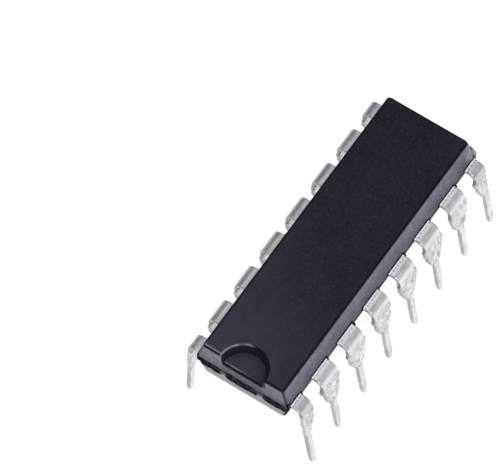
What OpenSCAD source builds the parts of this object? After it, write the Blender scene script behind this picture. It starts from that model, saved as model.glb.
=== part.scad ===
// Dual in-line integrated circuit with sixteen through-hole leads, standing on its lead tips.
// +X runs along the body, away from the end with the notch. Leads 1 to 8 are on the -Y side
// and leads 9 to 16 on the +Y side, counted anticlockwise from the notch as seen from above.
// The origin is on the plane of the lead tips, below the middle of the body. Millimetres.

/* [Package body] */
// Length of the moulded body at its parting line
body_length = 18.8; // [18.7:0.05:19.3]
// Width of the moulded body at its parting line
body_width = 6.2; // [6.1:0.05:6.5]
// Height of the mould's upper half, from the parting line to the top face
upper_height = 1.58; // [1.5:0.01:1.7]
// Height of the mould's lower half, from the underside to the parting line
lower_height = 1.52; // [1.45:0.01:1.6]
// How far the long sides lean in between the parting line and the top or bottom face
side_draft = 0.45; // [0.3:0.01:0.5]
// How far the end faces lean in between the parting line and the top face
end_draft = 0.21; // [0.1:0.01:0.3]
// How far the end faces lean in between the parting line and the bottom face
lower_end_draft = 0.16; // [0.1:0.01:0.3]

/* [Notch and mould mark] */
// Radius of the half-round notch where it meets the top face
notch_radius = 1.43; // [1.2:0.01:1.6]
// Radius of the notch's floor, smaller because its wall is drafted
notch_floor_radius = 1.28; // [1:0.01:1.35]
// Depth of the notch's floor below the top face
notch_depth = 0.72; // [0.4:0.01:0.9]
// Radius of the shallow round mark that the ejector pin leaves in the underside
mark_radius = 1.4; // [1:0.05:1.6]
// Depth of that mark
mark_depth = 0.12; // [0.05:0.01:0.2]

/* [Leads] */
// Distance between neighbouring leads
pitch = 2.54; // [2.54:0.01:2.54]
// Thickness of the lead frame's metal
lead_thickness = 0.25; // [0.23:0.01:0.3]
// Width of a lead's shoulder, which stops it at the board
shoulder_width = 1.48; // [1.4:0.01:1.6]
// Width of a lead's stem, below the shoulder
stem_width = 0.46; // [0.4:0.01:0.53]
// Length of the stem below the seating plane
stem_length = 3.3; // [3:0.05:3.6]
// Height of the body's underside above the seating plane
standoff = 1.1; // [0.7:0.05:1.2]
// Distance between the outer faces of the two rows, just below their bends
row_width = 7.62; // [7.6:0.01:7.9]
// Outward lean of each row, as the leads leave the forming tool
splay = 4.5; // [0:0.5:6]
// Inner radius of the bend
bend_radius = 0.2; // [0.15:0.01:0.25]
// Height over which the shoulder tapers down to the stem
taper_height = 1.6; // [1.3:0.05:1.7]
// Width of the shoulder's lower end, where it steps in to the stem
taper_end_width = 0.68; // [0.6:0.02:0.8]
// Width of the stem's pointed tip
tip_width = 0.24; // [0.2:0.01:0.3]
// Length of the point
tip_length = 0.32; // [0.2:0.01:0.4]

/* [Inside the package] */
// Length of the paddle that carries the chip
paddle_length = 4.4; // [4.2:0.05:4.5]
// Width of the paddle
paddle_width = 2.7; // [2.5:0.05:2.8]
// Width of the bar that ties the paddle to each end
tie_width = 0.36; // [0.3:0.02:0.44]
// Distance between the two cut tie-bar ends that show at each end face
tie_spacing = 2.46; // [2.4:0.02:2.8]
// How far a cut tie-bar end stands out of the end face
tie_proud = 0.05; // [0.02:0.01:0.08]
// Length of the silicon chip
die_length = 2; // [1.9:0.05:2.2]
// Width of the silicon chip
die_width = 1.8; // [1.75:0.05:2]
// Thickness of the silicon chip
die_height = 0.28; // [0.25:0.01:0.3]
// Thickness of the layer that glues the chip to the paddle
attach_height = 0.03; // [0.02:0.01:0.04]
// Diameter of a bond wire
wire_diameter = 0.033; // [0.03:0.001:0.038]

/* [Hidden] */
$fn = 64;

// Height of the parting line, which is also the middle of the lead frame's metal
parting_z = stem_length + standoff + lower_height;
frame_top = lead_thickness / 2;
bend_outer = bend_radius + lead_thickness;
// Centre of the bend, seen along X
bend_y = row_width / 2 - bend_outer * cos(splay);
bend_z = -frame_top - bend_radius;
half_shoulder = shoulder_width / 2;
seat_z = -lower_height - standoff;
taper_z = seat_z + taper_height;
// Radius of the arc that narrows the shoulder
taper_run = (shoulder_width - taper_end_width) / 2;
taper_radius = (taper_run * taper_run + taper_height * taper_height) / (2 * taper_run);
top_edge_x = body_length / 2 - end_draft;
die_top = frame_top + attach_height + die_height;
wire_r = wire_diameter / 2;

// Middle of each lead along X, for leads 1 to 4
function lead_x(i) = (i - 4.5) * pitch;
// How far a shoulder reaches towards the notch: the end leads are narrow there
function lead_out(i) = i == 1 ? stem_width / 2 : half_shoulder;

// Plan of each lead inside the body, after the straight stretch at the wall:
// first along the side away from the notch, then back along the other side.
FINGERS = [
  [[-8.15, -2.7], [-6.6, -1.35], [-4.6, -0.72], [-2.45, -0.72],
   [-2.45, -0.42], [-4.7, -0.42], [-6.9, -0.98], [-8.7, -2.4], [-9.12, -2.7]],
  [[-5.61, -2.85], [-5, -2.3], [-4.4, -1.75], [-3.4, -1.32], [-2.45, -1.32],
   [-2.45, -0.97], [-3.6, -0.97], [-4.7, -1.35], [-6.5, -2.3], [-7.09, -2.85]],
  [[-3.07, -2.85], [-1.65, -2.05], [-1.65, -1.6], [-2.15, -1.6],
   [-2.15, -1.72], [-3.42, -2.38], [-4.55, -2.85]],
  [[-0.53, -2.8], [-0.45, -2.5], [-0.45, -1.6], [-0.95, -1.6],
   [-0.95, -2.3], [-1.5, -2.65], [-2.01, -2.85]]
];

// Where each bond wire starts on the chip and ends on its lead, for leads 1 to 4
PADS = [[-0.88, -0.25], [-0.88, -0.65], [-0.6, -0.78], [-0.2, -0.78]];
STITCHES = [[-2.62, -0.57], [-2.62, -1.15], [-1.9, -1.8], [-0.7, -1.8]];

// Bond wire: each entry is how far along its run, height above the chip's top face,
// radius along the run and radius across it, as multiples of the wire's own radius.
WIRE_STEPS = [
  [0, 0, 2.5, 2.5], [0, 0.024, 2.6, 2.6], [0, 0.038, 1, 1], [0.01, 0.12, 1, 1],
  [0.06, 0.2, 1, 1], [0.18, 0.235, 1, 1], [0.4, 0.19, 1, 1], [0.65, 0.05, 1, 1],
  [0.86, -0.13, 1, 1], [0.955, -0.25, 1, 1]
];
WIRE_SIDES = 6;

// Rings of points along one wire, from the ball on the chip to the stitch on the lead
function wire_rings(a, b) = let (
    run = norm(b - a), u = (b - a) / run, s = [-u[1], u[0], 0],
    ctr = [for (w = WIRE_STEPS) [a[0] + u[0] * run * w[0], a[1] + u[1] * run * w[0], die_top + w[1]]],
    last = len(ctr) - 1,
    end = [b[0], b[1], frame_top]
  ) concat(
    [for (i = [0 : last]) let (
        nxt = i < last ? ctr[i + 1] : end,
        raw = i < 3 ? [0, 0, 1] : nxt - ctr[i - 1],
        t = raw / norm(raw),
        n = cross(s, t)
      ) [for (k = [0 : WIRE_SIDES - 1]) ctr[i]
          + n * (WIRE_STEPS[i][2] * wire_r * cos(360 * k / WIRE_SIDES))
          + s * (WIRE_STEPS[i][3] * wire_r * sin(360 * k / WIRE_SIDES))]],
    // the stitch: the wire is pressed flat where it ends on the lead
    [[for (k = [0 : WIRE_SIDES - 1]) end
          - [u[0], u[1], 0] * (1.8 * wire_r * cos(360 * k / WIRE_SIDES))
          + s * (1.4 * wire_r * sin(360 * k / WIRE_SIDES))]]
  );

module swept(rings) {
  m = len(rings[0]);
  last = len(rings) - 1;
  polyhedron(
    points = [for (r = rings) each r],
    faces = concat(
      [for (i = [0 : last - 1], k = [0 : m - 1]) [i * m + (k + 1) % m, i * m + k, (i + 1) * m + k]],
      [for (i = [0 : last - 1], k = [0 : m - 1]) [(i + 1) * m + (k + 1) % m, i * m + (k + 1) % m, (i + 1) * m + k]],
      [for (k = [1 : m - 2]) [0, k, k + 1]],
      [for (k = [1 : m - 2]) [last * m, last * m + k + 1, last * m + k]]
    ),
    convexity = 4
  );
}

// The body before anything is taken out of it: both mould halves, drafted from the parting line
module drafted_block() {
  intersection() {
    rotate([90, 0, 90])
      linear_extrude(body_length + 1, center = true)
        polygon([[-body_width / 2, 0], [-body_width / 2 + side_draft, -lower_height],
                 [body_width / 2 - side_draft, -lower_height], [body_width / 2, 0],
                 [body_width / 2 - side_draft, upper_height], [-body_width / 2 + side_draft, upper_height]]);
    rotate([90, 0, 0])
      linear_extrude(body_width + 1, center = true)
        polygon([[-body_length / 2, 0], [-body_length / 2 + lower_end_draft, -lower_height],
                 [body_length / 2 - lower_end_draft, -lower_height], [body_length / 2, 0],
                 [body_length / 2 - end_draft, upper_height], [-body_length / 2 + end_draft, upper_height]]);
  }
}

// The half-round notch at the lead 1 end, with a drafted wall, open to the end face
module notch() {
  rise = 0.3;
  slope = (notch_radius - notch_floor_radius) / notch_depth;
  translate([-top_edge_x, 0, upper_height - notch_depth]) {
    cylinder(h = notch_depth + rise, r1 = notch_floor_radius, r2 = notch_radius + slope * rise, $fn = 96);
    rotate([90, 0, -90])
      linear_extrude(1)
        polygon([[-notch_floor_radius, 0], [notch_floor_radius, 0],
                 [notch_radius + slope * rise, notch_depth + rise],
                 [-notch_radius - slope * rise, notch_depth + rise]]);
  }
}

module ejector_mark() {
  translate([0, 0, -lower_height - 1])
    cylinder(h = 1 + mark_depth, r = mark_radius, $fn = 96);
}

// A lead's section, seen along X: out of the body, round the bend and down the splayed leg
module lead_section() {
  translate([-bend_y, -frame_top])
    square([bend_y - body_width / 2 + 0.15, lead_thickness]);
  translate([-bend_y, bend_z]) {
    intersection() {
      difference() {
        circle(r = bend_outer, $fn = 96);
        circle(r = bend_radius, $fn = 96);
      }
      polygon([[0, 0], [0, 1], [-1, 1], [-cos(splay), sin(splay)]]);
    }
    rotate(-splay)
      translate([-bend_outer, -parting_z])
        square([lead_thickness, parting_z]);
  }
}

// A lead's outline, seen along Y: shoulder, curved taper, step, stem and pointed tip
module lead_outline(out) {
  translate([-out, taper_z])
    square([out + half_shoulder, 0.3 - taper_z]);
  intersection() {
    translate([-out, seat_z])
      square([out + half_shoulder, taper_height + 0.01]);
    translate([half_shoulder - taper_radius, taper_z])
      circle(r = taper_radius, $fn = 180);
    translate([-half_shoulder + taper_radius, taper_z])
      circle(r = taper_radius, $fn = 180);
  }
  polygon([[-stem_width / 2, 0], [-stem_width / 2, -parting_z + tip_length],
           [-tip_width / 2, -parting_z], [tip_width / 2, -parting_z],
           [stem_width / 2, -parting_z + tip_length], [stem_width / 2, 0]]);
}

// One of the leads 1 to 4, on the -Y side, with the finger that it has inside the body
module quarter_lead(i) {
  translate([lead_x(i), 0, 0])
    intersection() {
      rotate([90, 0, 90])
        linear_extrude(2, center = true)
          lead_section();
      translate([0, -body_width / 2, 0])
        rotate([90, 0, 0])
          linear_extrude(6, center = true)
            lead_outline(lead_out(i));
    }
  translate([0, 0, -frame_top])
    linear_extrude(lead_thickness)
      polygon(concat([[lead_x(i) - lead_out(i), -body_width / 2], [lead_x(i) + half_shoulder, -body_width / 2]],
                     FINGERS[i - 1]));
}

// Leads 5 to 8 mirror leads 4 to 1, and the +Y row is the -Y row turned half a turn
module lead(i) {
  color([0.78, 0.79, 0.8])
    translate([0, 0, parting_z])
      rotate([0, 0, i > 8 ? 180 : 0])
        let (j = i > 8 ? i - 8 : i)
          if (j > 4) mirror([1, 0, 0]) quarter_lead(9 - j);
          else quarter_lead(j);
}

// With a depth, both ends run on into the metal, so that the body's cavity is cut cleanly
module quarter_wire(i, depth = 0) {
  r = wire_rings(PADS[i - 1], STITCHES[i - 1]);
  down = [0, 0, -depth];
  swept(depth > 0
    ? concat([[for (p = r[0]) p + down]], r, [[for (p = r[len(r) - 1]) p + down]])
    : r);
}

module bond_wire(i, depth = 0) {
  color([0.95, 0.76, 0.3])
    translate([0, 0, parting_z])
      rotate([0, 0, i > 8 ? 180 : 0])
        let (j = i > 8 ? i - 8 : i)
          if (j > 4) mirror([1, 0, 0]) quarter_wire(9 - j, depth);
          else quarter_wire(j, depth);
}

// Half of the paddle's support: a bar to a fork whose two ends reach the end face
module tie_bar() {
  cross_x = 8.7;
  cross_width = 0.3;
  translate([paddle_length / 2 - 0.1, -tie_width / 2])
    square([cross_x - paddle_length / 2 + 0.2, tie_width]);
  translate([cross_x, -tie_spacing / 2 - tie_width / 2])
    square([cross_width, tie_spacing + tie_width]);
  for (s = [-1, 1])
    translate([cross_x, s * tie_spacing / 2 - tie_width / 2])
      square([body_length / 2 + tie_proud - cross_x, tie_width]);
}

module die_paddle() {
  color([0.8, 0.78, 0.74])
    translate([0, 0, parting_z - frame_top])
      linear_extrude(lead_thickness) {
        square([paddle_length, paddle_width], center = true);
        tie_bar();
        mirror([1, 0]) tie_bar();
      }
}

module die_attach() {
  color([0.62, 0.62, 0.6])
    translate([0, 0, parting_z + frame_top + attach_height / 2])
      cube([die_length + 0.16, die_width + 0.16, attach_height], center = true);
}

module silicon_die() {
  color([0.3, 0.33, 0.4])
    translate([0, 0, parting_z + frame_top + attach_height + die_height / 2])
      cube([die_length, die_width, die_height], center = true);
}

// One moulding that fills every space around the metal and the chip
module package_body() {
  color([0.16, 0.16, 0.19])
    difference() {
      translate([0, 0, parting_z]) drafted_block();
      translate([0, 0, parting_z]) notch();
      translate([0, 0, parting_z]) ejector_mark();
      die_paddle();
      die_attach();
      silicon_die();
      for (i = [1 : 16]) lead(i);
      for (i = [1 : 16]) bond_wire(i, 0.05);
    }
}

package_body();
lead(1);  // lead_01
lead(2);  // lead_02
lead(3);  // lead_03
lead(4);  // lead_04
lead(5);  // lead_05
lead(6);  // lead_06
lead(7);  // lead_07
lead(8);  // lead_08
lead(9);  // lead_09
lead(10);  // lead_10
lead(11);  // lead_11
lead(12);  // lead_12
lead(13);  // lead_13
lead(14);  // lead_14
lead(15);  // lead_15
lead(16);  // lead_16
die_paddle();
die_attach();
silicon_die();
bond_wire(1);  // bond_wire_01
bond_wire(2);  // bond_wire_02
bond_wire(3);  // bond_wire_03
bond_wire(4);  // bond_wire_04
bond_wire(5);  // bond_wire_05
bond_wire(6);  // bond_wire_06
bond_wire(7);  // bond_wire_07
bond_wire(8);  // bond_wire_08
bond_wire(9);  // bond_wire_09
bond_wire(10);  // bond_wire_10
bond_wire(11);  // bond_wire_11
bond_wire(12);  // bond_wire_12
bond_wire(13);  // bond_wire_13
bond_wire(14);  // bond_wire_14
bond_wire(15);  // bond_wire_15
bond_wire(16);  // bond_wire_16
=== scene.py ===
import math

import bmesh
import bpy
from mathutils import Matrix, Vector, noise


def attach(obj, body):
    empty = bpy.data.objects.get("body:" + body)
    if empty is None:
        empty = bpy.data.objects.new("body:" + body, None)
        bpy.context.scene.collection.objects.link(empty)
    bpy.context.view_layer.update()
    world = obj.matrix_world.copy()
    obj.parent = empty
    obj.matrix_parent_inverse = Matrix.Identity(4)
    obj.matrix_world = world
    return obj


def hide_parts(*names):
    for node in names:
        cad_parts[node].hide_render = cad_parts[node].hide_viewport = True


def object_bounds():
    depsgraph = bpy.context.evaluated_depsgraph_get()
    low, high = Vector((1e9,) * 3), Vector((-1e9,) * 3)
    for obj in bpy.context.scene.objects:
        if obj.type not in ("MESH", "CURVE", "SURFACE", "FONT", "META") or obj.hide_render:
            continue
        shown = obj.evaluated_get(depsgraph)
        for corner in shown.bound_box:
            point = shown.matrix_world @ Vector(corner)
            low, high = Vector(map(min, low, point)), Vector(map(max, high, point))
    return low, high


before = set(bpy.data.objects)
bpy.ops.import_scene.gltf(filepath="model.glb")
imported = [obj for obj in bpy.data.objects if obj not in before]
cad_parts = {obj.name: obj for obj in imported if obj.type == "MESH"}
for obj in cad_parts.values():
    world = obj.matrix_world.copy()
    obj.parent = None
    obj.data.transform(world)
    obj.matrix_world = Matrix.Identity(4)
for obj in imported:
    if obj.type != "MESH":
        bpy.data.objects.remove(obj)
scene = bpy.context.scene
cad_lo, cad_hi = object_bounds()

MM = 0.001
PARTING_Z = 5.92    # height of the mould's parting line, in mm
TOP_Z = 7.5         # top face
BOTTOM_Z = 4.4      # underside
TOP_X, TOP_Y = 9.19, 2.65      # half length and half width of the top face
LEAN_UP, LEAN_DOWN = 0.21 / 1.58, 0.16 / 1.52      # how the end faces lean in above and below the parting line
PART_X, PART_Y = 9.4, 3.1      # the same at the parting line
PITCH = 2.54
HALF_SHOULDER, HALF_STEM = 0.74, 0.23
NOTCH_R, NOTCH_FLOOR_R, NOTCH_FLOOR_Z = 1.43, 1.28, 6.78
STUB_Y = 1.23                       # middle of each cut tie-bar end
CRUMBS = {-1: (0.6, 0.8, 1.25, 0.35, 0.9, 0.5, 1.0, 0), 1: (0, 0.5, 0, 0.9, 0.4, 0, 0.7, 0)}     # size of the crumb of resin at each lead
TAG = (-9.26, 2.96, 5.66)           # a lump of resin at one corner, which the material paints near black
BURR = (9.245, -2.86, 6.42)         # a burr of resin along the far corner
FLOOR_GLOW = 0.88


# ---------------------------------------------------------------- shader helpers

class Graph:
    """Makes the nodes of one material, with its coordinates in millimetres."""

    def __init__(self, name):
        self.mat = bpy.data.materials.new(name)
        self.mat.use_nodes = True
        self.tree = self.mat.node_tree
        self.tree.nodes.clear()
        self.bsdf = self.node("ShaderNodeBsdfPrincipled")
        out = self.node("ShaderNodeOutputMaterial")
        self.link(self.bsdf.outputs[0], out.inputs["Surface"])
        coord = self.node("ShaderNodeTexCoord")
        scale = self.node("ShaderNodeVectorMath", operation="SCALE")
        self.link(coord.outputs["Object"], scale.inputs[0])
        scale.inputs["Scale"].default_value = 1000.0
        self.pos = scale.outputs[0]
        parts = self.node("ShaderNodeSeparateXYZ")
        self.link(self.pos, parts.inputs[0])
        self.x, self.y, self.z = parts.outputs
        geo = self.node("ShaderNodeNewGeometry")
        turn = self.node("ShaderNodeSeparateXYZ")
        self.link(geo.outputs["True Normal"], turn.inputs[0])
        self.nx, self.ny, self.nz = turn.outputs

    def node(self, kind, **settings):
        n = self.tree.nodes.new(kind)
        for k, v in settings.items():
            setattr(n, k, v)
        return n

    def link(self, a, b):
        self.tree.links.new(a, b)

    def put(self, value, socket):
        if hasattr(value, "links"):
            self.link(value, socket)
        else:
            socket.default_value = value

    def math(self, operation, *values, clamp=False):
        n = self.node("ShaderNodeMath", operation=operation, use_clamp=clamp)
        for v, s in zip(values, n.inputs):
            self.put(v, s)
        return n.outputs[0]

    def times(self, *values):
        out = values[0]
        for v in values[1:]:
            out = self.math("MULTIPLY", out, v)
        return out

    def flip(self, value):
        return self.math("SUBTRACT", 1.0, value)

    def size(self, value):
        return self.math("ABSOLUTE", value)

    def ramp(self, value, lo, hi, a=0.0, b=1.0):
        """a below lo, b above hi and a smooth step between them."""
        n = self.node("ShaderNodeMapRange", interpolation_type="SMOOTHSTEP")
        for v, s in zip((value, lo, hi, a, b), n.inputs):
            self.put(v, s)
        return n.outputs[0]

    def within(self, value, lo, hi, soft):
        """1 between lo and hi and 0 outside, with soft borders."""
        return self.times(self.ramp(value, lo - soft, lo), self.ramp(value, hi, hi + soft, 1.0, 0.0))

    def noise(self, scale, detail=3.0, rough=0.5, stretch=None, seed=0.0, distort=0.0):
        """Noise with scale features to a millimetre, from 0 to 1."""
        n = self.node("ShaderNodeTexNoise", noise_dimensions="4D")
        where = self.pos
        if stretch:
            m = self.node("ShaderNodeVectorMath", operation="MULTIPLY")
            self.link(self.pos, m.inputs[0])
            m.inputs[1].default_value = stretch
            where = m.outputs[0]
        self.link(where, n.inputs["Vector"])
        n.inputs["W"].default_value = seed
        n.inputs["Scale"].default_value = scale
        n.inputs["Detail"].default_value = detail
        n.inputs["Roughness"].default_value = rough
        n.inputs["Distortion"].default_value = distort
        return n.outputs[0]

    def cells(self, scale, feature="F1", jitter=1.0):
        n = self.node("ShaderNodeTexVoronoi", feature=feature)
        self.link(self.pos, n.inputs["Vector"])
        n.inputs["Scale"].default_value = scale
        n.inputs["Randomness"].default_value = jitter
        return n.outputs["Distance"]

    def mix(self, factor, a, b):
        n = self.node("ShaderNodeMix", data_type="RGBA")
        self.put(factor, n.inputs[0])
        for v, s in ((a, n.inputs[6]), (b, n.inputs[7])):
            if isinstance(v, tuple):
                v = (*v[:3], 1.0)
            self.put(v, s)
        return n.outputs[2]

    def blend(self, factor, a, b):
        n = self.node("ShaderNodeMix", data_type="FLOAT")
        for v, s in zip((factor, a, b), n.inputs[:1] + n.inputs[2:4]):
            self.put(v, s)
        return n.outputs[0]

    def bump(self, height, strength, depth_mm, after=None):
        n = self.node("ShaderNodeBump")
        n.inputs["Strength"].default_value = strength
        n.inputs["Distance"].default_value = depth_mm * MM
        self.put(height, n.inputs["Height"])
        if after is not None:
            self.link(after, n.inputs["Normal"])
        return n.outputs[0]

    def finish(self, colour, roughness, normal=None, metallic=0.0, **constants):
        b = self.bsdf.inputs
        self.put((*colour[:3], 1.0) if isinstance(colour, tuple) else colour, b["Base Color"])
        self.put(roughness, b["Roughness"])
        self.put(metallic, b["Metallic"])
        if normal is not None:
            self.link(normal, b["Normal"])
        for k, v in constants.items():
            b[k.replace("_", " ")].default_value = v
        return self.mat


def epoxy():
    """Black moulding compound: spark-eroded grain, filler specks, polished edges and torn resin at the parting line,
    with painted light: a sheen towards the notch end, paler sides, near-black rims, notch wall, hollows and side line,
    and pale highlight lines round the notch.
    """
    g = Graph("moulding_compound")
    grain = g.noise(8.5, 3.0, 0.6, seed=1.0)
    fine = g.noise(26.0, 2.0, 0.6, seed=2.0)
    broad = g.noise(0.32, 3.0, 0.55, seed=3.0)
    smear = g.noise(1.4, 3.0, 0.6, stretch=(0.45, 1.0, 1.0), seed=4.0)
    ax, ay = g.size(g.x), g.size(g.y)

    # blue-black, a little paler and browner in broad patches, with a salt of glass filler
    colour = g.mix(g.ramp(broad, 0.36, 0.66), (0.0098, 0.0089, 0.0163), (0.0142, 0.0130, 0.0226))
    colour = g.mix(g.ramp(smear, 0.52, 0.72, 0.0, 0.5), colour, (0.0170, 0.0160, 0.0240))
    colour = g.mix(g.ramp(grain, 0.50, 0.72, 0.0, 0.80), colour, (0.0290, 0.0275, 0.0400))
    colour = g.mix(g.ramp(grain, 0.30, 0.46, 0.70, 0.0), colour, (0.0015, 0.0014, 0.0040))
    # painted light: the whole body is painted paler towards the notch end and the +Y side, strongest at that corner of
    # the top, standing in for the sheen that falls there
    near_end_sheen = g.math("MULTIPLY_ADD", g.math("SUBTRACT", g.x, g.times(g.y, 0.9)), -1 / 15, 4 / 15, clamp=True)
    near_end_sheen = g.times(g.math("POWER", near_end_sheen, 2.0), g.ramp(smear, 0.30, 0.65, 0.75, 1.1))
    colour = g.mix(near_end_sheen, colour, (0.0410, 0.0385, 0.0560))
    speck = g.times(g.ramp(g.cells(6.5), 0.0, 0.16, 1.0, 0.0), g.ramp(g.noise(2.3, 1.0, seed=6.0), 0.54, 0.66))
    colour = g.mix(g.times(speck, 0.45), colour, (0.13, 0.13, 0.145))

    # painted light: the drafted sides are painted a pale grainy grey, lighter than the top as if lit more, fading
    # towards the parting line and below it, and not on the rounded vertical corners
    side = g.ramp(g.size(g.nz), 0.30, 0.60, 1.0, 0.0)
    diagonal = g.times(g.math("ADD", g.size(g.nx), g.size(g.ny)), 0.7071)
    corner = g.times(g.ramp(diagonal, 0.84, 0.95), g.ramp(ax, 8.9, 9.0), g.ramp(ay, 2.4, 2.5))
    painted_side_light = g.times(side, g.ramp(g.noise(0.9, 4.0, 0.65, seed=8.0), 0.25, 0.75, 0.62, 1.0), g.flip(g.times(corner, 0.9)))
    painted_side_light = g.times(painted_side_light, g.ramp(g.z, PARTING_Z, TOP_Z - 0.15, 0.45, 1.0))
    # painted shade: the ends are darker just above the parting line
    at_end = g.times(g.ramp(g.size(g.nx), 0.6, 0.8), g.within(g.z, PARTING_Z, PARTING_Z + 0.30, 0.40))
    painted_side_light = g.times(painted_side_light, g.flip(g.times(at_end, 0.42)))
    # painted shade: the end face is darker below the notch
    under_notch = g.times(g.ramp(ay, 0.95, 1.45, 1.0, 0.0), g.ramp(g.x, -9.0, -9.1), g.ramp(g.z, PARTING_Z - 0.1, PARTING_Z))
    painted_side_light = g.times(painted_side_light, g.flip(g.times(under_notch, 0.5)))
    sand = g.ramp(grain, 0.34, 0.70)
    colour = g.mix(painted_side_light, colour, g.mix(sand, (0.118, 0.119, 0.148), (0.225, 0.227, 0.272)))

    # painted shade: the rounded rims of the top face, the notch wall and the notch floor's front edge are painted near
    # black for the dark they reflect and the shade in the notch; they are also polished smooth
    to_edge = g.math("MINIMUM", g.math("SUBTRACT", TOP_X, ax), g.math("SUBTRACT", TOP_Y, ay))
    to_far = g.math("MINIMUM", g.math("SUBTRACT", TOP_X, g.x), g.math("SUBTRACT", TOP_Y, g.y))
    rim = g.math("MAXIMUM", g.ramp(to_edge, 0.085, 0.105, 1.0, 0.0), g.ramp(to_far, 0.12, 0.16, 1.0, 0.0))
    rim = g.times(rim, g.ramp(g.z, TOP_Z - 0.20, TOP_Z - 0.14))
    from_notch = g.node("ShaderNodeVectorMath", operation="LENGTH")
    flat = g.node("ShaderNodeCombineXYZ")
    g.link(g.math("ADD", g.x, TOP_X), flat.inputs[0])
    g.link(g.y, flat.inputs[1])
    g.link(flat.outputs[0], from_notch.inputs[0])
    ring = from_notch.outputs["Value"]
    wall = g.times(g.within(ring, NOTCH_FLOOR_R - 0.01, NOTCH_R + 0.085, 0.01), g.within(g.z, NOTCH_FLOOR_Z + 0.01, TOP_Z - 0.002, 0.01))
    foot = g.times(g.within(g.z, NOTCH_FLOOR_Z - 0.11, NOTCH_FLOOR_Z + 0.01, 0.02), g.ramp(ay, 1.30, 1.34, 1.0, 0.0), g.ramp(g.x, -9.165, -9.19))
    polished_shaded_rims = g.math("MAXIMUM", g.math("MAXIMUM", rim, wall), foot)
    left_arc = g.times(wall, g.ramp(g.math("SUBTRACT", g.y, g.math("ADD", g.x, 9.19)), -1.45, -0.9), g.ramp(ring, NOTCH_R - 0.02, NOTCH_R))
    shut = g.times(polished_shaded_rims, g.math("MAXIMUM", g.ramp(g.nz, 0.84, 0.90, 1.0, 0.0), foot), g.flip(left_arc))      # the steep part of each rounded edge
    # painted shade: the rims, the notch wall and the notch foot near black
    colour = g.mix(g.times(polished_shaded_rims, 0.9), colour, (0.0034, 0.0030, 0.0105))
    # painted highlight: pale lines above the end's rim, along the notch floor's front edge and round the left arc of
    # the notch, on the side of lead 16, broken up by noise
    glint_breakup = g.ramp(g.noise(1.6, 3.0, 0.6, seed=9.0), 0.30, 0.55, 0.35, 1.0)
    brow = g.times(g.within(to_edge, 0.075, 0.135, 0.02), g.ramp(g.nz, 0.88, 0.92), g.ramp(g.y, 1.0, 1.5), g.ramp(g.x, -8.9, -9.0), g.ramp(g.z, TOP_Z - 0.1, TOP_Z - 0.08))
    lip = g.times(g.within(g.z, NOTCH_FLOOR_Z - 0.015, NOTCH_FLOOR_Z + 0.01, 0.003), g.within(g.x, -9.155, -9.10, 0.02), g.ramp(g.nz, 0.92, 0.96), g.ramp(g.y, -0.5, 0.7))
    painted_glint = g.times(g.math("MAXIMUM", g.math("MAXIMUM", brow, lip), left_arc), glint_breakup)
    colour = g.mix(g.times(painted_glint, 0.85), colour, (0.215, 0.215, 0.235))

    # the scuffed corner at the far end
    away = g.node("ShaderNodeVectorMath", operation="DISTANCE")
    g.link(g.pos, away.inputs[0])
    away.inputs[1].default_value = (9.33, -2.95, 6.6)
    scuff = g.times(g.ramp(away.outputs["Value"], 0.35, 0.95, 1.0, 0.0), g.ramp(g.noise(3.5, 4.0, 0.7, seed=21.0), 0.36, 0.50))
    colour = g.mix(g.times(scuff, side, 0.8), colour, (0.32, 0.32, 0.33))

    # painted shade: the torn hollows at the parting line of the ends, a thin line along the sides below the parting
    # line, heavier beside each lead and round the corners, and the lump at one corner are painted near black; the torn
    # resin is also rough and dull
    depth = g.math("SUBTRACT", PARTING_Z, g.z)
    plane = g.math("SUBTRACT", PART_X, g.math("MAXIMUM", g.times(depth, LEAN_DOWN), g.times(depth, -LEAN_UP)))
    sunk = g.within(g.math("SUBTRACT", plane, ax), 0.022, 0.30, 0.012)
    hollow = g.times(sunk, g.within(depth, -0.42, 1.35, 0.01), g.ramp(ax, 8.9, 9.0), g.ramp(ay, 3.0, 3.06, 1.0, 0.35))
    wander = g.times(g.math("SUBTRACT", g.noise(1.6, 4.0, 0.7, seed=11.0), 0.5), 0.16)
    rise = g.math("ADD", depth, wander)
    across = g.math("MULTIPLY", g.size(g.math("SUBTRACT", g.math("FRACT", g.math("ADD", g.times(g.x, 1 / PITCH), 10.0)), 0.5)), PITCH)
    at_lead = g.times(g.ramp(across, 0.76, 0.92, 1.0, 0.0), g.ramp(ax, 9.05, 9.15, 1.0, 0.0))
    heavy = g.times(at_lead, g.within(rise, -0.25, 0.0, 0.05))
    faint = g.times(g.flip(at_lead), g.within(rise, -0.09, 0.05, 0.04), 0.65)
    line = g.times(g.math("ADD", heavy, faint), g.ramp(ay, 2.96, 2.99), g.ramp(depth, 0.10, 0.14, 1.0, 0.0))
    turn = g.times(g.within(rise, -0.02, 0.26, 0.05), g.ramp(ax, 9.10, 9.16), g.ramp(ay, 2.76, 2.82))
    line = g.math("MAXIMUM", line, turn)
    tag = g.node("ShaderNodeVectorMath", operation="DISTANCE")
    g.link(g.pos, tag.inputs[0])
    tag.inputs[1].default_value = TAG
    torn = g.math("MAXIMUM", g.math("MAXIMUM", hollow, line), g.times(g.ramp(tag.outputs["Value"], 0.30, 0.34, 1.0, 0.0), g.ramp(depth, 0.0, 0.04)))
    crack = g.noise(5.0, 4.0, 0.7, seed=15.0)
    # painted shade: the hollows, the line and the corner lump near black, with a paler mottle
    colour = g.mix(g.times(torn, 0.97), colour, g.mix(g.ramp(crack, 0.46, 0.72), (0.0036, 0.0036, 0.0046), (0.080, 0.081, 0.087)))

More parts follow.
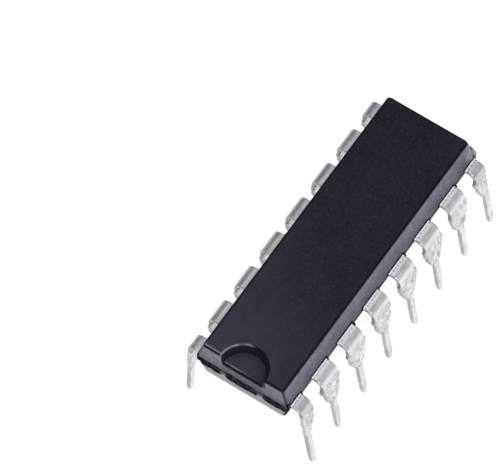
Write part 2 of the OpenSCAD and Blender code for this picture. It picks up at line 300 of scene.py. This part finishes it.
    rough = g.blend(g.ramp(fine, 0.3, 0.7), 0.38, 0.50)
    rough = g.blend(polished_shaded_rims, rough, 0.24)
    lower_end = g.times(g.ramp(g.size(g.nx), 0.6, 0.8), g.ramp(depth, 0.05, 0.10))
    rough = g.blend(lower_end, rough, 0.24)
    rough = g.blend(torn, rough, 1.0)
    gloss = g.blend(side, 0.16, 0.45)
    gloss = g.blend(lower_end, gloss, g.ramp(g.z, BOTTOM_Z + 0.06, BOTTOM_Z + 0.22, 0.34, 0.82))
    gloss = g.blend(g.math("MAXIMUM", shut, g.math("MAXIMUM", torn, g.times(corner, 0.8))), gloss, 0.04)

    bumpy = g.bump(grain, 0.70, 0.012)
    bumpy = g.bump(fine, 0.30, 0.004, after=bumpy)
    bumpy = g.bump(g.noise(2.2, 3.0, 0.6, seed=13.0), 0.25, 0.012, after=bumpy)
    g.link(gloss, g.bsdf.inputs["Specular IOR Level"])
    return g.finish(colour, rough, bumpy, IOR=1.5, Specular_Tint=(0.87, 0.855, 1.0, 1.0))


def tinned():
    """Copper alloy, tin dipped: pale bare strip at the body, drawn bend, crinkled bright solder on the leg, dull
    sheared edges, and painted shade in the solder's creases and pits, along the leg's edges, in a band before the bend
    and on the cut edge below it.
    """
    g = Graph("tinned_lead")
    ay = g.size(g.y)
    out = g.ramp(g.math("SUBTRACT", ay, g.ramp(g.y, -0.1, 0.1, 0.0, 0.07)), 3.12, 3.17)      # beyond the bare strip
    leg = g.ramp(g.z, 5.25, 5.65, 1.0, 0.0)            # below the bend
    sheared = g.ramp(g.size(g.nx), 0.60, 0.85)
    dimple = g.noise(2.5, 1.5, 0.45, seed=1.0, distort=0.8)
    taper = g.times(leg, g.ramp(g.z, 2.9, 3.6))        # the wide part of the leg, where the solder is thickest
    blotch = g.noise(2.4, 3.0, 0.6, seed=2.0)
    drawn = g.noise(9.0, 2.0, 0.5, stretch=(0.12, 1.0, 1.0), seed=3.0)
    crease = g.noise(1.25, 1.0, 0.4, stretch=(1.0, 1.0, 0.6), seed=7.0, distort=1.2)
    streak = g.noise(5.0, 1.5, 0.5, stretch=(1.0, 1.0, 0.14), seed=12.0)
    fine = g.noise(30.0, 2.0, 0.5, seed=4.0)
    crumple = g.noise(4.6, 2.0, 0.5, stretch=(1.0, 1.0, 0.32), seed=17.0, distort=0.5)

    colour = g.mix(g.ramp(blotch, 0.35, 0.65), (0.70, 0.705, 0.71), (0.80, 0.805, 0.81))
    colour = g.mix(leg, colour, g.mix(g.ramp(blotch, 0.38, 0.62), (0.66, 0.662, 0.665), (0.82, 0.82, 0.825)))
    colour = g.mix(g.flip(out), colour, (0.93, 0.925, 0.94))
    colour = g.mix(g.times(g.ramp(drawn, 0.48, 0.70, 0.0, 0.5), g.flip(leg), out), colour, (0.60, 0.605, 0.61))
    # painted shade: a darker grey band across the shoulder where it starts to bend, standing in for the darker
    # surroundings it reflects there
    bend = g.times(g.ramp(ay, 3.24, 3.46), g.ramp(g.math("SUBTRACT", ay, g.ramp(g.y, -0.1, 0.1, 0.0, 0.25)), 3.46, 3.68, 1.0, 0.0), g.ramp(g.z, 5.2, 5.5))
    colour = g.mix(g.times(bend, g.ramp(blotch, 0.30, 0.65, 0.90, 0.64)), colour, (0.42, 0.42, 0.425))
    # the upper part of the four end leads is a darker grey
    colour = g.mix(g.times(g.ramp(g.size(g.x), 8.0, 8.1), g.ramp(g.z, 4.9, 5.5), out, 0.42), colour, (0.40, 0.40, 0.42))
    # a row of fine pricks where the bare strip ends
    beat = g.math("SINE", g.times(g.math("ADD", g.x, g.times(g.noise(2.0, 1.0, seed=9.0), 0.30)), 2 * math.pi / 0.23))
    prick = g.times(g.within(g.math("ADD", ay, g.times(blotch, 0.05)), 3.20, 3.235, 0.02), g.ramp(beat, -0.2, 0.7), g.ramp(g.z, 5.9, 6.0), g.ramp(g.y, -0.1, 0.1, 1.0, 0.0))
    colour = g.mix(g.times(prick, g.ramp(blotch, 0.35, 0.6, 0.1, 0.6)), colour, (0.25, 0.25, 0.25))
    # painted shade: the creases, crumples and pits of the solder are painted darker
    fold = g.times(g.ramp(g.size(g.math("SUBTRACT", crease, 0.5)), 0.0, 0.075, 1.0, 0.0), taper)
    pit_shade = g.times(g.ramp(dimple, 0.30, 0.37, 1.0, 0.0), taper)
    colour = g.mix(g.times(fold, 0.30), colour, (0.36, 0.36, 0.365))
    colour = g.mix(g.times(g.ramp(crumple, 0.36, 0.47, 0.60, 0.0), taper), colour, (0.30, 0.30, 0.305))
    colour = g.mix(g.times(pit_shade, 0.6), colour, (0.28, 0.28, 0.285))
    colour = g.mix(g.times(g.ramp(streak, 0.45, 0.65, 0.0, 0.70), leg), colour, (0.54, 0.54, 0.545))
    colour = g.mix(g.times(sheared, g.ramp(blotch, 0.35, 0.6, 0.15, 0.7)), colour, (0.42, 0.42, 0.42))
    # painted shade: the edges of the leg, where its section rounds away, are painted a duller grey, streaked
    across = g.math("MULTIPLY", g.size(g.math("SUBTRACT", g.math("FRACT", g.math("ADD", g.times(g.x, 1 / PITCH), 10.0)), 0.5)), PITCH)
    below = g.math("MAXIMUM", g.math("SUBTRACT", 4.9, g.z), 0.0)
    half = g.math("SUBTRACT", HALF_SHOULDER, g.times(below, below, 1 / 6.8))
    half = g.blend(g.ramp(g.z, 3.22, 3.34), HALF_STEM, half)
    inset = g.math("ADD", g.math("SUBTRACT", half, across), g.times(g.math("SUBTRACT", blotch, 0.5), 0.12))
    edge = g.times(g.ramp(inset, 0.02, 0.13, 1.0, 0.0), leg)
    colour = g.mix(g.times(edge, g.ramp(streak, 0.35, 0.60, 0.35, 0.9)), colour, (0.40, 0.40, 0.405))
    # painted shade: the cut edge just below the bend, on its inner turn, is painted dark
    cut = g.times(g.ramp(g.size(g.nx), 0.45, 0.75), g.within(ay, 3.55, 4.2, 0.12), g.within(g.z, 5.26, 5.60, 0.12), g.ramp(g.y, -0.1, 0.1, 1.0, 0.3))
    colour = g.mix(g.times(cut, g.ramp(blotch, 0.35, 0.60, 0.3, 0.8)), colour, (0.26, 0.26, 0.26))

    rough = g.blend(g.ramp(blotch, 0.3, 0.7), 0.34, 0.46)
    rough = g.blend(g.times(leg, g.ramp(dimple, 0.35, 0.65)), rough, g.blend(taper, 0.34, 0.22))
    rough = g.blend(g.flip(out), rough, 0.80)
    rough = g.blend(g.times(sheared, 0.7), rough, 0.55)

    h = g.bump(g.times(dimple, taper), 0.8, 0.12)
    h = g.bump(g.times(fold, -1.0), 0.5, 0.03, after=h)
    h = g.bump(g.times(crumple, taper), 0.8, 0.09, after=h)
    h = g.bump(g.times(streak, leg), 0.7, 0.045, after=h)
    h = g.bump(drawn, 0.15, 0.008, after=h)
    h = g.bump(g.times(prick, -1.0), 0.7, 0.02, after=h)
    h = g.bump(fine, 0.15, 0.003, after=h)
    return g.finish(colour, rough, h, metallic=g.blend(out, 0.15, 1.0))


def cut_metal():
    """Lead-frame metal of the paddle, dull and torn where its tie bars were cut."""
    g = Graph("paddle_metal")
    torn = g.noise(9.0, 4.0, 0.65, seed=2.0)
    streak = g.noise(14.0, 2.0, 0.5, stretch=(1.0, 0.15, 1.0), seed=5.0)
    colour = g.mix(g.ramp(torn, 0.35, 0.65), (0.085, 0.084, 0.092), (0.17, 0.168, 0.176))
    rough = g.blend(g.ramp(streak, 0.3, 0.7), 0.50, 0.70)
    return g.finish(colour, rough, g.bump(torn, 0.5, 0.02), metallic=0.85)


def glue():
    """Silver-filled die attach."""
    g = Graph("die_attach")
    flake = g.noise(40.0, 3.0, 0.6, seed=1.0)
    colour = g.mix(g.ramp(flake, 0.4, 0.6), (0.32, 0.32, 0.31), (0.50, 0.50, 0.48))
    return g.finish(colour, g.blend(flake, 0.45, 0.7), g.bump(flake, 0.4, 0.004), metallic=0.4)


def silicon():
    """Silicon chip: fine blocks of circuit that shift between slate, violet and tan."""
    g = Graph("silicon")
    block = g.node("ShaderNodeTexBrick")
    g.link(g.pos, block.inputs["Vector"])
    block.inputs["Scale"].default_value = 2.6
    block.inputs["Mortar Size"].default_value = 0.02
    block.inputs["Color1"].default_value = (0.10, 0.12, 0.19, 1)
    block.inputs["Color2"].default_value = (0.17, 0.12, 0.20, 1)
    block.inputs["Mortar"].default_value = (0.32, 0.27, 0.20, 1)
    fine = g.noise(60.0, 2.0, 0.5, stretch=(1.0, 0.2, 1.0), seed=2.0)
    colour = g.mix(g.ramp(fine, 0.5, 0.6, 0.0, 0.5), block.outputs["Color"], (0.30, 0.26, 0.19))
    return g.finish(colour, g.blend(fine, 0.12, 0.3), g.bump(fine, 0.2, 0.001), metallic=0.2)


def gold():
    """Drawn gold wire."""
    g = Graph("gold_wire")
    drawn = g.noise(80.0, 2.0, 0.5, seed=1.0)
    colour = g.mix(g.ramp(drawn, 0.3, 0.7), (0.95, 0.66, 0.28), (1.0, 0.78, 0.40))
    return g.finish(colour, g.blend(drawn, 0.16, 0.28), g.bump(drawn, 0.2, 0.001), metallic=1.0)


def paper():
    """The pale, evenly lit surface that the part stands on."""
    g = Graph("pale_floor")
    mottle = g.noise(0.05, 2.0, 0.5, seed=1.0)
    colour = g.mix(mottle, (0.24, 0.24, 0.24), (0.26, 0.26, 0.26))
    g.finish(colour, 0.9, None, Specular_IOR_Level=0.1, Emission_Strength=FLOOR_GLOW)
    g.bsdf.inputs["Emission Color"].default_value = (1.0, 1.0, 1.0, 1.0)
    return g.mat


MATERIALS = {"moulding_compound": epoxy(), "tinned_lead": tinned(), "paddle_metal": cut_metal(),
             "die_attach": glue(), "silicon": silicon(), "gold_wire": gold()}


# ---------------------------------------------------------------- meshes, worked on in millimetres

def in_mm(node):
    """A bmesh of a CAD node in millimetres, with its split corners joined."""
    bm = bmesh.new()
    bm.from_mesh(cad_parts[node].data)
    bmesh.ops.scale(bm, vec=(1000, 1000, 1000), verts=bm.verts)
    bmesh.ops.remove_doubles(bm, verts=bm.verts, dist=2e-4)
    return bm


def as_piece(bm, name, material):
    """A new object in metres made from a bmesh in millimetres."""
    bmesh.ops.scale(bm, vec=(MM, MM, MM), verts=bm.verts)
    mesh = bpy.data.meshes.new(name)
    bm.to_mesh(mesh)
    bm.free()
    piece = bpy.data.objects.new(name, mesh)
    scene.collection.objects.link(piece)
    mesh.materials.append(material)
    return piece


def bench(bm, name="work"):
    """A passing object, still in millimetres, that modifiers can work on."""
    mesh = bpy.data.meshes.new(name)
    bm.to_mesh(mesh)
    bm.free()
    work = bpy.data.objects.new(name, mesh)
    scene.collection.objects.link(work)
    return work


def off_bench(work, *others):
    """What the modifiers make of a passing object, as a bmesh. The passing objects go."""
    bpy.context.view_layer.update()
    done = bpy.data.meshes.new_from_object(work.evaluated_get(bpy.context.evaluated_depsgraph_get()))
    for o in (work, *others):
        mesh = o.data
        bpy.data.objects.remove(o)
        bpy.data.meshes.remove(mesh)
    bm = bmesh.new()
    bm.from_mesh(done)
    bpy.data.meshes.remove(done)
    return bm


def hum(*at):
    """Smooth noise from about -1 to 1."""
    return noise.noise(Vector(at))


def step(value, lo, hi):
    t = min(1.0, max(0.0, (value - lo) / (hi - lo)))
    return t * t * (3 - 2 * t)


def mid(edge):
    return (edge.verts[0].co + edge.verts[1].co) / 2


def level(edge, z, tol=0.01):
    return all(abs(v.co.z - z) < tol for v in edge.verts)


def round_edges(bm, test, width, segments):
    edges = [e for e in bm.edges if test(e) and len(e.link_faces) == 2]
    bmesh.ops.bevel(bm, geom=edges, offset=width, offset_type="OFFSET", segments=segments,
                    profile=0.5, affect="EDGES", clamp_overlap=False, loop_slide=True)


def torn_hollow(bm, end, y0, y1, tall, seed):
    """Adds a closed lump that cuts a torn hollow along the parting line of one end."""
    cols, rows = round((y1 - y0) / 0.06), 8
    grids = [[], []]
    for i in range(cols + 1):
        y = y0 + (y1 - y0) * i / cols
        fade = math.sqrt(min(1.0, max(0.0, min(y - y0, y1 - y)) / 0.14))
        below = tall * (0.45 + 0.55 * fade) + 0.16 * hum(y * 2.6, seed, 0) + 0.09 * hum(y * 8.0, seed, 5)
        above = 0.250 * (0.60 + 0.40 * fade) + 0.05 * hum(y * 3.4, seed, 9) + 0.03 * hum(y * 9.0, seed, 2)
        for j in range(rows + 1):
            t = j / rows
            z = PARTING_Z + above - t * (above + below)
            plane = PART_X - max((PARTING_Z - z) * LEAN_DOWN, (z - PARTING_Z) * LEAN_UP)
            deep = 0.110 - 0.055 * t + 0.022 * hum(y * 7.0, z * 7.0, seed)
            grids[0].append(bm.verts.new((end * (plane - deep), y, z)))
            grids[1].append(bm.verts.new((end * (PART_X + 0.3), y, z)))
    n = rows + 1
    for grid in grids:
        for i in range(cols):
            for j in range(rows):
                bm.faces.new((grid[i * n + j], grid[(i + 1) * n + j], grid[(i + 1) * n + j + 1], grid[i * n + j + 1]))
    border = [i * n for i in range(cols + 1)] + [cols * n + j for j in range(1, n)] + \
        [i * n + rows for i in range(cols - 1, -1, -1)] + [j for j in range(rows - 1, 0, -1)]
    a, b = grids
    for p, q in zip(border, border[1:] + border[:1]):
        bm.faces.new((a[p], a[q], b[q], b[p]))


def lead_sides(k):
    """Lowest and highest x of lead shoulder k, from 0 to 7 along the body."""
    x = (k - 3.5) * PITCH
    lo = HALF_STEM if k == 0 else HALF_SHOULDER
    hi = HALF_STEM if k == 7 else HALF_SHOULDER
    return x - lo, x + hi


def flash(bm, x, y, size, seed):
    """Adds a crumb of resin that bled out beside a lead."""
    made = bmesh.ops.create_icosphere(bm, subdivisions=2, radius=1.0)["verts"]
    wide = 0.085 * size
    out = 0.125 * size
    for v in made:
        c = v.co * (1 + 0.22 * hum(v.co.x * 1.7 + seed, v.co.y * 1.7, v.co.z * 1.7))
        v.co = Vector((x + c.x * wide, y + c.y * out, PARTING_Z + 0.01 + c.z * 0.115))


def make_body():
    bm = in_mm("package_body")
    bmesh.ops.dissolve_limit(bm, angle_limit=math.radians(0.4), verts=bm.verts, edges=bm.edges)

    def corner(e):
        m = mid(e)
        return abs(m.x) > 9.15 and abs(m.y) > 2.6 and abs(e.verts[0].co.z - e.verts[1].co.z) > 0.5
    round_edges(bm, corner, 0.20, 6)

    def outline(z):
        return lambda e: level(e, z, 0.002) and e.calc_face_angle(0) > 0.5
    round_edges(bm, outline(TOP_Z), 0.09, 5)
    bottom = outline(BOTTOM_Z)
    round_edges(bm, lambda e: bottom(e) and math.hypot(mid(e).x, mid(e).y) > 2, 0.09, 4)

    def foot(e):
        m = mid(e)
        return level(e, NOTCH_FLOOR_Z, 0.002) and m.x < -9.25 and abs(m.y) < 1.2
    round_edges(bm, foot, 0.08, 4)

    cuts = bmesh.new()
    for end in (-1, 1):
        torn_hollow(cuts, end, STUB_Y + 0.13, PART_Y + 0.15, 0.64, 3.7 + end)
        torn_hollow(cuts, end, -STUB_Y + 0.23, STUB_Y - 0.06, 0.70, 8.2 + end)
        torn_hollow(cuts, end, -2.84, -STUB_Y - 0.07, 0.64, 12.9 + end)
    bmesh.ops.recalc_face_normals(cuts, faces=cuts.faces)
    crumbs = bmesh.new()
    for k in range(8):
        for side in (-1, 1):
            for s, x in zip((-1, 1), lead_sides(k)):
                if s > 0 and CRUMBS[side][k] > 0:
                    flash(crumbs, x + 0.04, side * (PART_Y + (0.02 if side < 0 else -0.03)), CRUMBS[side][k], k * 5.3 + side * 2.1)
    for v in bmesh.ops.create_icosphere(crumbs, subdivisions=2, radius=1.0)["verts"]:
        c = v.co * (1 + 0.2 * hum(*(v.co * 1.7)))
        v.co = Vector(TAG) + Vector((c.x * 0.10, c.y * 0.12, c.z * 0.24))
    for v in bmesh.ops.create_icosphere(crumbs, subdivisions=3, radius=1.0)["verts"]:
        c = v.co * (1 + 0.2 * hum(*(v.co * 1.4 + Vector((3, 1, 7)))))
        v.co = Vector(BURR) + Vector((c.x * 0.17 - c.z * 0.065, c.y * 0.17 + c.z * 0.14, c.z * 0.52))
    bmesh.ops.recalc_face_normals(crumbs, faces=crumbs.faces)

    work, cut, crumb = bench(bm), bench(cuts, "cuts"), bench(crumbs, "crumbs")
    for other, what in ((cut, "DIFFERENCE"), (crumb, "UNION")):
        b = work.modifiers.new(what, "BOOLEAN")
        b.operation, b.solver, b.object = what, "EXACT", other
    return off_bench(work, cut, crumb)


def shade(piece, angle=32):
    """Smooth faces, with the edges sharper than angle kept sharp."""
    bm = bmesh.new()
    bm.from_mesh(piece.data)
    for f in bm.faces:
        f.smooth = True
    for e in bm.edges:
        e.smooth = len(e.link_faces) == 2 and e.calc_face_angle(0) < math.radians(angle)
    bm.to_mesh(piece.data)
    bm.free()
    w = piece.modifiers.new("even_shading", "WEIGHTED_NORMAL")
    w.weight = 90
    w.keep_sharp = True


body = as_piece(make_body(), "moulded_body", MATERIALS["moulding_compound"])
shade(body)
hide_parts("package_body")
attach(body, "root")


def solder_coat(node, number):
    """The lead with its tin: edges rounded over, cut webs beside the bend, and the dipped leg crinkled. In millimetres."""
    work = bench(in_mm(node))
    r = work.modifiers.new("even", "REMESH")
    r.mode = "VOXEL"
    r.voxel_size = 0.042
    r.adaptivity = 0.0
    s = work.modifiers.new("soft", "SMOOTH")
    s.factor, s.iterations = 0.5, 3
    bm = off_bench(work)

    k = number - 1 if number <= 8 else 16 - number
    lo, hi = lead_sides(k)
    seed = number * 7.31
    droop = math.tan(math.radians(5.0 + 1.6 * hum(seed, 0.5, 3.0)))     # the shoulder sags a little
    leg = [v for v in bm.verts if abs(v.co.y) > 3.4 and v.co.z < 5.3]
    for _ in range(5):
        bmesh.ops.smooth_vert(bm, verts=leg, factor=0.5, use_axis_x=True, use_axis_y=True, use_axis_z=True)
    tip = [v for v in leg if v.co.z < 0.55]
    for _ in range(10):
        bmesh.ops.smooth_vert(bm, verts=tip, factor=0.5, use_axis_x=True, use_axis_y=True, use_axis_z=True)
    bm.normal_update()
    moved = []
    for v in bm.verts:
        co, n = v.co, v.normal
        if abs(co.y) < 3.15:
            continue
        drop = Vector((0, 0, -droop * (abs(co.y) - 3.15)))
        if abs(co.y) < 3.3 and co.z > 5.2:
            moved.append((v, co + drop))
            continue
        # what is left of the web between neighbouring leads, cut away just below the bend
        web = step(co.z, 4.72, 4.82) * (1 - step(co.z, 5.14, 5.24)) * step(abs(n.x), 0.35, 0.8)
        side = -1 if co.x < (lo + hi) / 2 else 1
        edge = lo if side < 0 else hi
        if abs(edge - (k - 3.5) * PITCH) > 0.5:
            web *= step(side * (co.x - edge), -0.10, -0.03)
            dx = side * web * (0.075 + 0.03 * hum(co.z * 5, co.y * 9, seed))
        else:
            dx = 0.0
        dip = 1 - step(co.z, 5.0, 5.5)
        lumpy = dip * step(co.z, 2.9, 3.7)
        a = hum(co.x * 2.4 + seed, co.y * 2.4, co.z * 1.9)
        warp = co.x + 0.25 * hum(co.x * 3, co.z * 3, seed)
        fold = (1 - min(1.0, 3 * abs(hum(warp * 1.5 + seed, co.y * 1.5, co.z * 0.9 + 9)))) ** 2
        b = hum(co.x * 4.2 + 0.8 * co.z, co.y * 4.2 + seed, co.z * 1.9)
        streak = hum(co.x * 8 + seed, co.y * 8, co.z * 1.1)
        rib = hum(co.x * 4.6 + seed, co.y * 4.6, co.z * 0.7 + 0.8 * co.x)
        d = lumpy * (0.020 * a + 0.038 * fold + 0.026 * b + 0.036 * rib) + \
            dip * (1 - lumpy) * (0.010 * a + 0.008 * b + 0.012 * streak) + 0.004 * dip
        moved.append((v, co + n * d + drop + Vector((dx, 0, 0))))
    widest = cad_hi[1] / MM
    for v, co in moved:
        v.co = co
        v.co.y = max(-widest, min(widest, v.co.y))
    low = min(v.co.z for v in bm.verts)
    for v in bm.verts:
        if v.co.z < 0.7:
            v.co.z = 0.7 - (0.7 - v.co.z) * 0.7 / (0.7 - low)
    # the finger inside the body is flat, so it needs few faces
    inside = [f for f in bm.faces if all(abs(v.co.y) < 3.0 for v in f.verts)]
    verts = {v for f in inside for v in f.verts}
    edges = {e for f in inside for e in f.edges}
    bmesh.ops.dissolve_limit(bm, angle_limit=math.radians(4), verts=list(verts), edges=list(edges))
    for f in bm.faces:
        f.smooth = True
    return bm


for i in range(1, 17):
    name = f"lead_{i:02d}"
    piece = as_piece(solder_coat(name, i), f"tinned_{name}", MATERIALS["tinned_lead"])
    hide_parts(name)
    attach(piece, "root")

for name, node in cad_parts.items():
    if name == "package_body" or name.startswith("lead_"):
        continue
    kind = {"die_paddle": "paddle_metal", "die_attach": "die_attach", "silicon_die": "silicon"}.get(name, "gold_wire")
    for slot in node.material_slots:
        slot.material = MATERIALS[kind]


# ---------------------------------------------------------------- floor, light and camera

bpy.ops.mesh.primitive_plane_add(size=4.0, location=(0, 0, 0))
floor = bpy.context.object
floor.name = "floor"
floor.data.materials.append(paper())


def toward(azimuth, elevation):
    """Unit vector to a direction: azimuth 0 is +X and 90 is +Y, in degrees."""
    a, e = math.radians(azimuth), math.radians(elevation)
    return Vector((math.cos(e) * math.cos(a), math.cos(e) * math.sin(a), math.sin(e)))


def put_light(name, data, back, place):
    light = bpy.data.objects.new(name, data)
    light.rotation_mode = "QUATERNION"
    light.rotation_quaternion = back.to_track_quat("Z", "Y")
    light.location = place
    scene.collection.objects.link(light)
    return light


def sun(name, azimuth, elevation, power, spread):
    data = bpy.data.lights.new(name, "SUN")
    data.energy = power
    data.angle = math.radians(spread)
    put_light(name, data, toward(azimuth, elevation), toward(azimuth, elevation) * 0.5)


def softbox(name, azimuth, elevation, distance, aim, side, radiance):
    """A square diffuse panel, in millimetres, that stands close, so that its light fades along the part."""
    data = bpy.data.lights.new(name, "AREA")
    data.shape = "SQUARE"
    data.size = side * MM
    data.energy = radiance * math.pi * (side * MM) ** 2
    back = toward(azimuth, elevation)
    light = put_light(name, data, back, (Vector(aim) + back * distance) * MM)
    light.visible_camera = False


sun("key", 232, 52, 1.45, 24)
sun("fill_front", 270, 35, 0.40, 120)
sun("fill_right", 330, 50, 0.2, 70)
softbox("near_panel", 85, 70, 70, (-TOP_X, PART_Y, TOP_Z), 60, 0.40)

world = bpy.data.worlds.new("studio")
scene.world = world
world.use_nodes = True
wt = world.node_tree
wt.nodes.clear()
w_out = wt.nodes.new("ShaderNodeOutputWorld")
w_bg = wt.nodes.new("ShaderNodeBackground")
w_coord = wt.nodes.new("ShaderNodeTexCoord")
w_sep = wt.nodes.new("ShaderNodeSeparateXYZ")
w_map = wt.nodes.new("ShaderNodeMapRange")          # the ceiling, paler overhead
w_dot = wt.nodes.new("ShaderNodeVectorMath")
w_glow = wt.nodes.new("ShaderNodeMapRange")         # a soft skylight in it
w_sum = wt.nodes.new("ShaderNodeMath")
w_map.interpolation_type = w_glow.interpolation_type = "SMOOTHSTEP"
w_dot.operation = "DOT_PRODUCT"
w_dot.inputs[1].default_value = toward(15, 68.3)
wt.links.new(w_coord.outputs["Generated"], w_sep.inputs[0])
wt.links.new(w_coord.outputs["Generated"], w_dot.inputs[0])
wt.links.new(w_sep.outputs[2], w_map.inputs[0])
wt.links.new(w_dot.outputs["Value"], w_glow.inputs[0])
for n, numbers in ((w_map, (0.84, 0.97, 0.32, 0.48)), (w_glow, (0.95, 0.995, 0.0, 0.62))):
    for s, v in zip(n.inputs[1:5], numbers):
        s.default_value = v
wt.links.new(w_map.outputs[0], w_sum.inputs[0])
wt.links.new(w_glow.outputs[0], w_sum.inputs[1])
wt.links.new(w_sum.outputs[0], w_bg.inputs["Strength"])
w_bg.inputs["Color"].default_value = (0.96, 0.98, 1.0, 1.0)
wt.links.new(w_bg.outputs[0], w_out.inputs["Surface"])

scene.view_settings.view_transform = "Standard"
scene.view_settings.look = "None"
scene.view_settings.exposure = 0.0

# The camera's place and turn come from a fit to the photograph. It stands 500 mm from the body.
RIGHT = Vector((0.557401, -0.829491, -0.035353))
UP = Vector((0.748984, 0.484016, 0.452495))
BACK = Vector((-0.358229, -0.278700, 0.891066))
middle = Vector((0, 0, PARTING_Z))
place = middle + BACK * 500.0
aim = middle - RIGHT * (87.089 / 18.0863) + UP * (20.539 / 18.0863)
back = (place - aim).normalized()
right = (RIGHT - back * RIGHT.dot(back)).normalized()
up = back.cross(right)
cam_data = bpy.data.cameras.new("camera")
cam_data.sensor_width = 36.0
cam_data.lens = 651.11
cam_data.clip_start, cam_data.clip_end = 0.01, 10.0
cam = bpy.data.objects.new("camera", cam_data)
cam.matrix_world = Matrix.Translation(place * MM) @ Matrix((right, up, back)).transposed().to_4x4()
scene.collection.objects.link(cam)
scene.camera = cam

bpy.context.view_layer.update()
